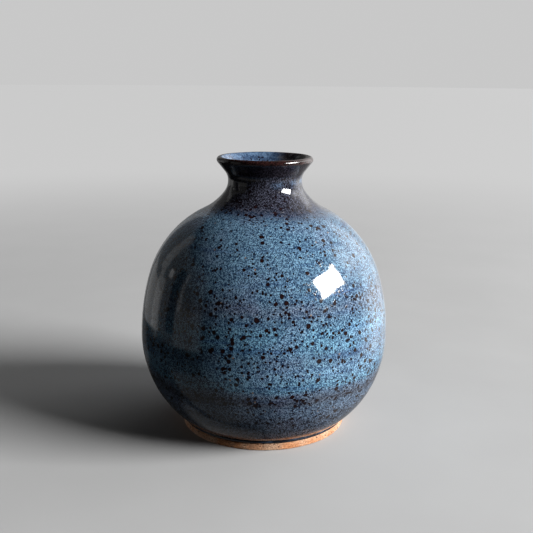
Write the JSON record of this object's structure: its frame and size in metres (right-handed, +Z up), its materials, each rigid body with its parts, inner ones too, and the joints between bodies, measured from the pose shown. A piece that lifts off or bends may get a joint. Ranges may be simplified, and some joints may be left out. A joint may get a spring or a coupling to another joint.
{
  "type": "bud vase",
  "caption": "Round-bellied ceramic bud vase with a short narrow neck, a flared mouth with a rounded lip, a speckled glaze and a bare turned foot ring.",
  "frame": {"origin": "centre of the foot ring's flat underside, on the surface that the vase stands on", "axes": "+Z up along the turning axis, towards the mouth; the vase is a body of revolution, so +X and +Y are any two level directions"},
  "size_m": [0.1094, 0.1094, 0.12],
  "materials": {
    "stoneware": "bare fired clay, matt, toasted orange-brown",
    "body_glaze": "gloss blue glaze, mottled, with iron specks in bands",
    "neck_glaze": "gloss dark iron glaze over blue, finely mottled",
    "rim_glaze": "gloss glaze that breaks to brown over the lip",
    "liner_glaze": "gloss pale blue liner glaze",
    "rolled_glaze": "gloss, thick and near black blue"
  },
  "bodies": {
    "root": {"stoneware_body": "stoneware", "foot_ring": "stoneware", "body_glaze": "body_glaze", "neck_glaze": "neck_glaze", "rim_glaze": "rim_glaze", "liner_glaze": "liner_glaze", "glaze_roll": "rolled_glaze"}
  },
  "joints": []
}
